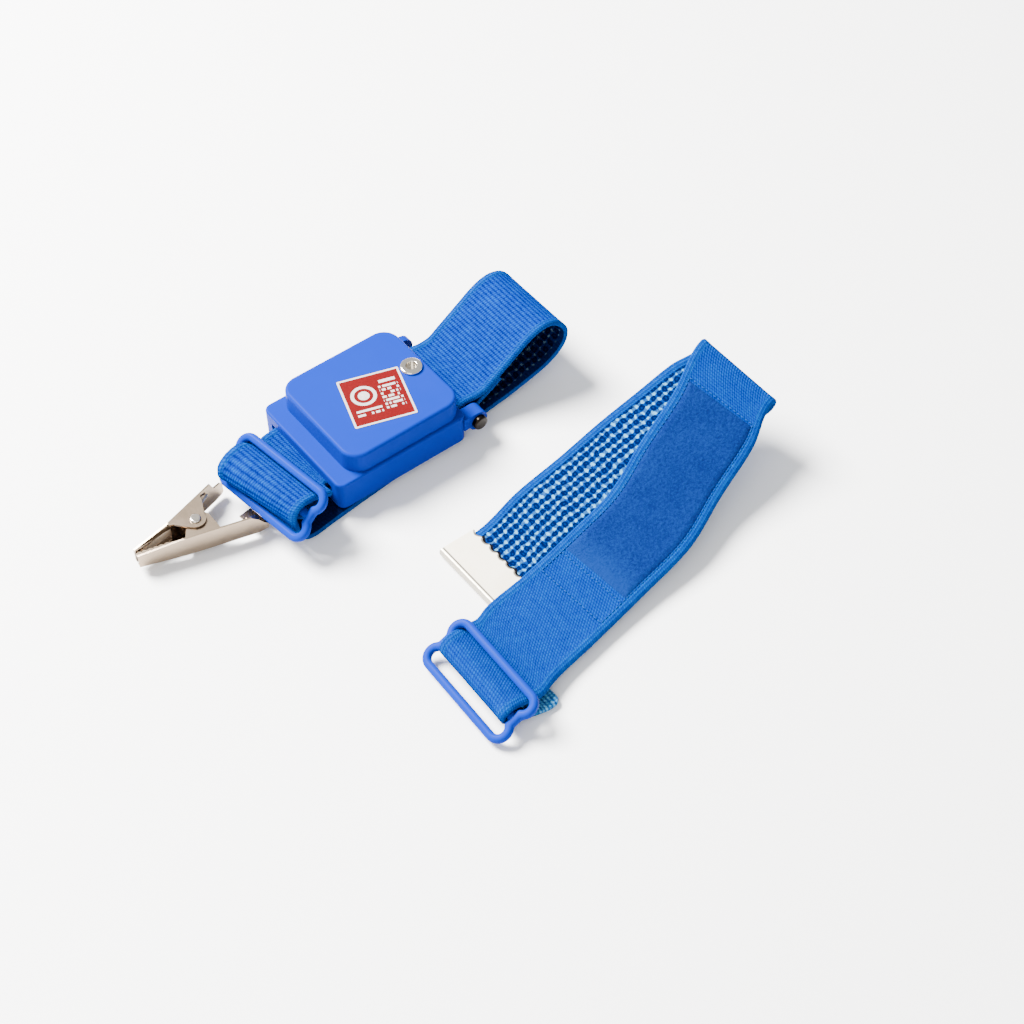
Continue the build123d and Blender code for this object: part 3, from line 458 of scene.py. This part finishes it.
def add_mesh(name, points, faces, materials, picks=None, uvs=None):
    """Smooth mesh from lists; picks gives each face's material and uvs each point's place on a strap."""
    mesh = bpy.data.meshes.new(name)
    mesh.from_pydata([tuple(p) for p in points], [], faces)
    for material in materials:
        mesh.materials.append(material)
    if uvs:
        layer = mesh.uv_layers.new(name="UVMap")
        for loop in mesh.loops:
            layer.data[loop.index].uv = uvs[loop.vertex_index]
    for polygon in mesh.polygons:
        polygon.use_smooth = True
        if picks:
            polygon.material_index = picks[polygon.index]
    mesh.update()
    made = bpy.data.objects.new(name, mesh)
    bpy.context.scene.collection.objects.link(made)
    return made


def strap_mesh(name, strap, outer, inner, outer_is_up, rib, depth, body, node,
               edge=1.9, inner_edge=0.6, round_end=0.0, pale_end=0.0):
    """Knitted strap with real crosswise ribs on its outer face, raised selvedges and rounded edges.

    The selvedge is edge wide outside and inner_edge wide inside. The far end can be rounded off over
    its last round_end millimetres, and show its own finish over the last pale_end."""
    outer_pick, inner_pick, edge_pick, end_pick = range(4)
    half, thick = strap.width / 2, strap.thickness / 2
    middle = [(-half + edge) + (2 * half - 2 * edge) * k / 12 for k in range(1, 12)]
    asides = [-half + 0.02, -half + 0.35, -half + edge - 0.3, -half + edge]
    asides += middle + [half - edge, half - edge + 0.3, half - 0.35, half - 0.02]
    ring = [(a, 1) for a in asides] + [(half, 0)] + [(a, -1) for a in reversed(asides)] + [(-half, 0)]
    sign = 1 if outer_is_up else -1
    points, uvs, faces, picks = [], [], [], []
    for i, distance in enumerate(strap.distance):
        crest = 0.5 - 0.5 * math.cos(math.tau * distance / rib)
        left = round_end - (strap.length - distance)
        drawn_in = round_end - math.sqrt(round_end ** 2 - left ** 2) if left > 0 else 0.0
        slim = max(0.25, 1 - (left / round_end) ** 4) if left > 0 else 1.0
        for aside, side in ring:
            in_edge = abs(aside) > half - edge
            height = side * thick
            if side:
                if side == sign:
                    height -= side * depth * (1 - crest) * (0.35 if in_edge else 1.0)
                if in_edge:
                    height += side * 0.06
                if abs(aside) > half - 0.2:
                    height *= 0.55
            points.append(strap.at(i, aside * (1 - drawn_in / half), height * slim))
            uvs.append((aside, distance))
    count = len(ring)
    for i in range(len(strap.distance) - 1):
        for k in range(count):
            m = (k + 1) % count
            a, b = i * count + k, i * count + m
            faces.append((a, b, b + count, a + count))
            aside = (ring[k][0] + ring[m][0]) / 2
            side = ring[k][1] or ring[m][1]
            if strap.length - strap.distance[i] < pale_end:
                picks.append(end_pick)
            elif abs(aside) > half - (edge if side == sign else inner_edge):
                picks.append(edge_pick)
            else:
                picks.append(outer_pick if side == sign else inner_pick)
    end = (len(strap.distance) - 1) * count
    faces.append(tuple(range(count)))
    faces.append(tuple(reversed(range(end, end + count))))
    picks += [edge_pick, edge_pick]
    made = add_mesh(name, points, faces, [outer, inner, SELVEDGE, LOOSE_END], picks, uvs)
    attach(made, body)
    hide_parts(node)
    return made


def stitches(name, strap, lines, height, body, radius=0.16, pitch=1.5):
    """Rows of sewn stitches on a strap; a line is (distance, aside, distance, aside)."""
    points, faces = [], []
    for d0, a0, d1, a1 in lines:
        run = math.hypot(d1 - d0, a1 - a0)
        count = max(1, round(run / pitch))
        for k in range(count):
            ends = [(k + share) / count for share in (0.1, 0.86)]
            row = []
            for share, lift in ((ends[0], -0.6), (ends[0] * 0.75 + ends[1] * 0.25, 0.7),
                                (ends[0] * 0.25 + ends[1] * 0.75, 0.7), (ends[1], -0.6)):
                wobble = random.uniform(-0.03, 0.03)
                row.append(strap.point(d0 + (d1 - d0) * share, a0 + (a1 - a0) * share + wobble,
                                       height + lift * radius))
            tube(points, faces, row, radius * MM)
    made = add_mesh(name, points, faces, [THREAD])
    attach(made, body)
    return made


def tube(points, faces, path, radius, sides=6):
    """Adds a closed tube along the path, pinched at both ends."""
    start = len(points)
    last = len(path) - 1
    for i, place in enumerate(path):
        along = (path[min(i + 1, last)] - path[max(i - 1, 0)]).normalized()
        side = along.cross(Vector((0.3, 0.2, 0.93))).normalized()
        other = along.cross(side)
        reach = radius * (0.45 if i in (0, last) else 1.0)
        for k in range(sides):
            turn = math.tau * k / sides
            points.append(place + (side * math.cos(turn) + other * math.sin(turn)) * reach)
    for i in range(last):
        for k in range(sides):
            a, b = start + i * sides + k, start + i * sides + (k + 1) % sides
            faces.append((a, b, b + sides, a + sides))
    faces.append(tuple(start + k for k in reversed(range(sides))))
    faces.append(tuple(start + last * sides + k for k in range(sides)))


# ---------------------------------------------------------------- wristband
def wrist_stations():
    """From its tail round the rear pin, through the loop, under the module and over the adjuster to the hem."""
    front = in_slider(FRONT_SLIDER, FRONT_YAW)
    low = BAND_THICKNESS / 2
    tail = [(35.0, 10.6), (31.2, 8.05), (28.3, 6.4)]
    wrap = arc(REAR_PIN, 2.45, range(-60, -271, -30))
    loop = [(26.4, 8.5), (29.6, 8.85), (33.0, 10.95), (37.0, 13.65), (40.5, 16.0), (43.6, 18.1),
            (46.8, 19.7), (50.2, 20.3), (53.4, 19.3), (55.6, 17.2), (57.0, 14.6), (56.9, 11.7),
            (54.9, 8.6), (51.2, 6.1), (44.8, 4.0), (38.3, 2.4), (31.9, 1.3)]
    stations = [(x, 0.0, z, 0.0, 0.0) for x, z in tail + wrap + loop]
    stations += [(26.0, -0.3, low, 1.6, 0.0), (24.5, -0.5, low, 2.2, 0.0), (10.0, -2.2, low, 5.7, 0.0),
                 (6.0, -2.6, low, 5.7, 0.0), (-6.0, -3.8, low, 5.7, 0.0), (-20.0, -5.2, low, 5.7, 0.0)]
    rise = [(-6.5, low), (-5.0, low), (-2.6, 0.8), (-0.4, 1.5), (1.3, 3.2), (2.5, 6.0), (3.0, 9.0)]
    over = arc((0, FRONT_SLIDER[2]), 3.2, range(0, 91, 30))
    hem = [(-2.6, 14.2), (-5.0, 13.3), (-7.0, 12.25), (-8.8, 11.2)]
    lean = {(3.0, 9.0): (2.2, 0.3)}
    leans = [(3.3, 0.0), (2.9, 0.5), (1.5, 0.5), (0.3, 0.3)]
    path = [front(f, h, -0.3, bulge=lean.get((f, h), (0.0, 0.0))) for f, h in rise]
    spreads = [0.3, 0.8, 1.3, 1.6]
    path += [front(f, h, -0.3, bulge=b, spread=w) for (f, h), b, w in zip(over, leans, spreads)]
    return stations + path + [front(f, h, -0.3, spread=w) for (f, h), w in zip(hem, (1.8, 1.0, 0.3, 0.0))]


def anchor_stations():
    """Closed loop between the adjuster's centre bar and the bar in the module's front."""
    front = in_slider(FRONT_SLIDER, FRONT_YAW)
    x, z = FRONT_BAR
    stations = [(-20.9, 0.1, 4.3, 1.0, 0.0), front(-9.6, 4.8, -4.4), front(-6.0, 6.0, -2.2),
                front(-2.5, 8.0, -0.6)]
    stations += [front(f, h, -0.3) for f, h in arc((0, FRONT_SLIDER[2]), 1.9, range(-60, 91, 30))]
    stations += [front(-3.2, 12.6, -0.5), front(-6.0, 11.2, -1.6), front(-9.0, 9.3, -3.8),
                 front(-11.2, 7.9, -5.2), (-20.3, 0.3, 7.15, 1.0, 0.0)]
    stations += [(px, 0.3, pz, 0.0, 0.0) for px, pz in arc((x, z), 1.5, range(90, -91, -30))]
    return stations + [(-20.5, 0.3, 4.3, 1.0, 0.0)]


wrist = Strap(wrist_stations(), 0.16, BAND_WIDTH, BAND_THICKNESS)
strap_mesh("wrist_band_knit", wrist, RIBBED, INNER_SHADED, False, RIB, 0.16, "module", "wrist_band")
seam_places = [wrist.length - HEM_SEAM, wrist.length - HEM_SEAM + HEM_SEAM_GAP]
stitches("hem_stitches", wrist, [(at, -HEM_SEAM_HALF, at, HEM_SEAM_HALF) for at in seam_places],
         -BAND_THICKNESS / 2 - 0.02, "module")
anchor = Strap(anchor_stations(), 0.16, ANCHOR_WIDTH, ANCHOR_THICKNESS)
strap_mesh("anchor_strap_knit", anchor, RIBBED, SELVEDGE, False, RIB, 0.12, "module", "anchor_strap")


# ---------------------------------------------------------------- spare band
def spare_stations():
    """From the end plate to the fold, back to the adjuster and round its bar; also the first index after the fold."""
    spare = in_slider(SPARE_SLIDER, SPARE_YAW)
    lower = [(-7.0, -55.9, 1.2, 0.0, 0.0), (3.5, -55.9, 1.25, 0.0, 0.0), (18.5, -53.3, 2.6, 1.0, 3.0),
             (33.0, -52.6, 5.2, 2.0, 3.0), (46.5, -51.9, 8.3, 3.0, 3.0), (59.5, -52.5, 12.0, 5.0, 6.0),
             (69.5, -53.6, 15.8, 7.5, 10.0)]
    upper = [(66.2, -60.4, 15.2, 15.0, 10.0), (51.3, -65.0, 10.2, 16.4, 8.0), (36.9, -70.6, 7.2, 14.5, 6.0),
             (20.3, -73.3, 4.7, 8.0, 5.0), (2.9, -76.3, 3.3, 4.0, 3.0, 0.0, 0.0, 0.5),
             (-11.0, -79.2, 3.4, 0.0, 1.0, 0.0, 0.0, 1.6)]
    middle = SPARE_SLIDER[2]
    roll = [spare(-9.5, 4.0, -0.6, spread=1.9), spare(-6.3, 4.95, -0.4, spread=2.0),
            spare(-3.2, 6.1, -0.2, spread=1.5)]
    spreads = (1.1, 0.9, 0.6, 0.4, 0.2, 0.0, 0.0)
    roll += [spare(f, h, spread=w) for (f, h), w in zip(arc((0, middle), 2.05, range(90, -91, -30)), spreads)]
    roll += [spare(-3.0, 1.7, 0.6), spare(-7.0, 0.95, 1.3), spare(-10.0, 0.8, 1.8),
             (-12.3, -83.2, 0.8, 2.0, 0.0)]
    fold = fold_stations()
    return lower + fold + upper + roll, len(lower) + len(fold)


def fold_stations():
    """Half turn about the crease where the band is folded over."""
    centre, radius = Vector((78.3, -55.3, 19.5)), 0.95
    yaw, tilt, rise = 9.6, 14.0, math.radians(24.0)
    forward = Vector((math.cos(math.radians(yaw)), math.sin(math.radians(yaw)), 0))
    ahead = forward * math.cos(rise) + Vector((0, 0, math.sin(rise)))
    over = Vector((0, 0, math.cos(rise))) - forward * math.sin(rise)
    places = [centre + (ahead * math.cos(turn) + over * math.sin(turn)) * radius
              for turn in (math.radians(a) for a in range(-90, 91, 30))]
    return [(p.x, p.y, p.z, yaw, tilt) for p in places]


stations, after_fold = spare_stations()
spare = Strap(stations, 0.14, BAND_WIDTH, BAND_THICKNESS)
strap_mesh("spare_band_knit", spare, FINE, INNER, True, FINE_RIB, 0.07, "spare_strap", "spare_band",
           edge=2.2, inner_edge=2.2, round_end=ROUND_END, pale_end=PALE_END)


def distance_of(strap, station):
    """Distance along a strap at which it passes a station."""
    place = Vector(station[:3])
    nearest = min(range(len(strap.places)), key=lambda i: (strap.places[i] - place).length)
    return strap.distance[nearest]


def pile_patch():
    """Napped loop patch: a soft pad with a rounded rim, an uneven pile and a lower end that runs out."""
    start = distance_of(spare, stations[after_fold - 1]) + PATCH_AFTER_FOLD
    end = distance_of(spare, stations[after_fold + 3]) + PATCH_PAST_STATION
    pile = nap("loop_pile", (0.003, 0.0085, 0.066, 1), (0.004, 0.023, 0.125, 1), end)
    half = BAND_WIDTH / 2 - PATCH_MARGIN
    step = 0.3
    side_rim, first_rim, last_rim = 1.6, 1.2, 4.0
    rows, columns = int((end - start) / step), 66
    points, faces, uvs = [], [], []
    for i in range(rows + 1):
        distance = start + (end - start) * i / rows
        for k in range(columns + 1):
            aside = -half + 2 * half * k / columns
            inward = min(i * step / first_rim, (rows - i) * step / last_rim, (half - abs(aside)) / side_rim)
            rise = max(0.0, min(1.0, inward))
            soft = rise * (2 - rise)
            height = BAND_THICKNESS / 2 - 0.04 + PATCH_PROUD * soft + random.uniform(-0.06, 0.06) * rise
            points.append(spare.point(distance, aside, height))
            points.append(spare.point(distance, aside, BAND_THICKNESS / 2 - 0.2))
            uvs += [(aside, distance), (aside, distance)]
    across = 2 * (columns + 1)
    for i in range(rows):
        for k in range(columns):
            a = i * across + 2 * k
            faces.append((a, a + 2, a + across + 2, a + across))
            faces.append((a + across + 1, a + across + 3, a + 3, a + 1))
    for i in range(rows):
        for k in (0, columns):
            a = i * across + 2 * k
            rim = (a, a + across, a + across + 1, a + 1)
            faces.append(rim if k == 0 else rim[::-1])
    for k in range(columns):
        for i in (0, rows):
            a = i * across + 2 * k
            rim = (a, a + 1, a + 3, a + 2)
            faces.append(rim if i == 0 else rim[::-1])
    made = add_mesh("loop_patch_pile", points, faces, [pile], None, uvs)
    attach(made, "spare_strap")
    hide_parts("spare_loop_patch")
    return start, end, half


patch_start, patch_end, patch_half = pile_patch()
seam_half = patch_half + SEAM_GAP
first, middle, last = patch_start - 0.6, patch_end + 1.5, patch_end + SEAM_LAST
seams = [(first, -seam_half, first, seam_half), (first, seam_half, last, seam_half),
         (first, -seam_half, last, -seam_half), (middle, -seam_half, middle, seam_half),
         (last, -seam_half, last, seam_half)]
stitches("patch_stitches", spare, seams, BAND_THICKNESS / 2 + 0.03, "spare_strap",
         radius=0.13, pitch=1.3)


# ---------------------------------------------------------------- CAD nodes that stay
FINISHES = {
    "top_shell": SHELL, "bottom_cover": SHELL, "cover_screws": STEEL, "label": LABEL, "eyelet": BRIGHT,
    "eyelet_contact": BRASS, "circuit_board": BOARD, "board_screws": STEEL, "resistor": RESISTOR,
    "skin_plate": BRIGHT, "contact_spring": STEEL, "front_bar": STEEL, "rear_pin": BLACKED,
    "front_slider": SLIDER, "spare_slider": SLIDER, "clip_fixed_jaw": NICKEL, "clip_moving_jaw": NICKEL,
    "clip_rivet": BRIGHT, "clip_spring": STEEL, "clip_spring_leg": STEEL, "clip_bracket": NICKEL,
    "bracket_rivets": BRIGHT, "tab_rivet": BRIGHT, "spare_end_plate": CREAM,
}
for node, finish in FINISHES.items():
    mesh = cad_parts[node].data
    if not mesh.materials:
        mesh.materials.append(finish)
    for i in range(len(mesh.materials)):
        mesh.materials[i] = finish


# ---------------------------------------------------------------- floor, light and camera
def make_floor():
    """Plain square of table just below the part."""
    n = Nodes("floor")
    cloud = n.noise(3.0)
    n.bump(n.noise(300.0), 0.02, 0.0002)
    finish = n.finish(n.mix(cloud, (0.90, 0.90, 0.905, 1), (0.93, 0.93, 0.93, 1)), 0.6)
    half, level = 3.0, -0.0004
    corners = [(-half, -half, level), (half, -half, level), (half, half, level), (-half, half, level)]
    floor = add_mesh("floor", corners, [(0, 1, 2, 3)], [finish])


def area_light(name, place, target, size, power, colour=(1, 1, 1)):
    """Round lamp turned towards its target."""
    light = bpy.data.lights.new(name, "AREA")
    light.shape, light.size, light.energy, light.color = "DISK", size, power, colour
    made = bpy.data.objects.new(name, light)
    made.location = place
    made.rotation_euler = (Vector(target) - Vector(place)).to_track_quat("-Z", "Y").to_euler()
    bpy.context.scene.collection.objects.link(made)


def make_world():
    world = bpy.data.worlds.new("world")
    world.use_nodes = True
    background = world.node_tree.nodes["Background"]
    background.inputs["Color"].default_value = (0.95, 0.97, 1.0, 1)
    background.inputs["Strength"].default_value = 0.95
    bpy.context.scene.world = world


def make_camera():
    """Long lens from above the clip's side, aimed between the two straps."""
    camera = bpy.data.cameras.new("camera")
    camera.sensor_width, camera.lens = 36.0, 67.5
    camera.clip_start, camera.clip_end = 0.01, 20.0
    made = bpy.data.objects.new("camera", camera)
    made.location = (-0.1758, -0.2855, 0.3789)
    back = made.location - Vector((0.0147, -0.0430, 0.0))
    made.rotation_euler = back.to_track_quat("Z", "Y").to_euler()
    bpy.context.scene.collection.objects.link(made)
    bpy.context.scene.camera = made


make_floor()
make_world()
area_light("key", (-0.25, 0.55, 0.75), (0, -0.03, 0), 0.5, 92.0, (1.0, 0.99, 0.97))
area_light("fill", (-0.7, -0.5, 0.6), (0, -0.03, 0), 0.8, 6.0)
make_camera()
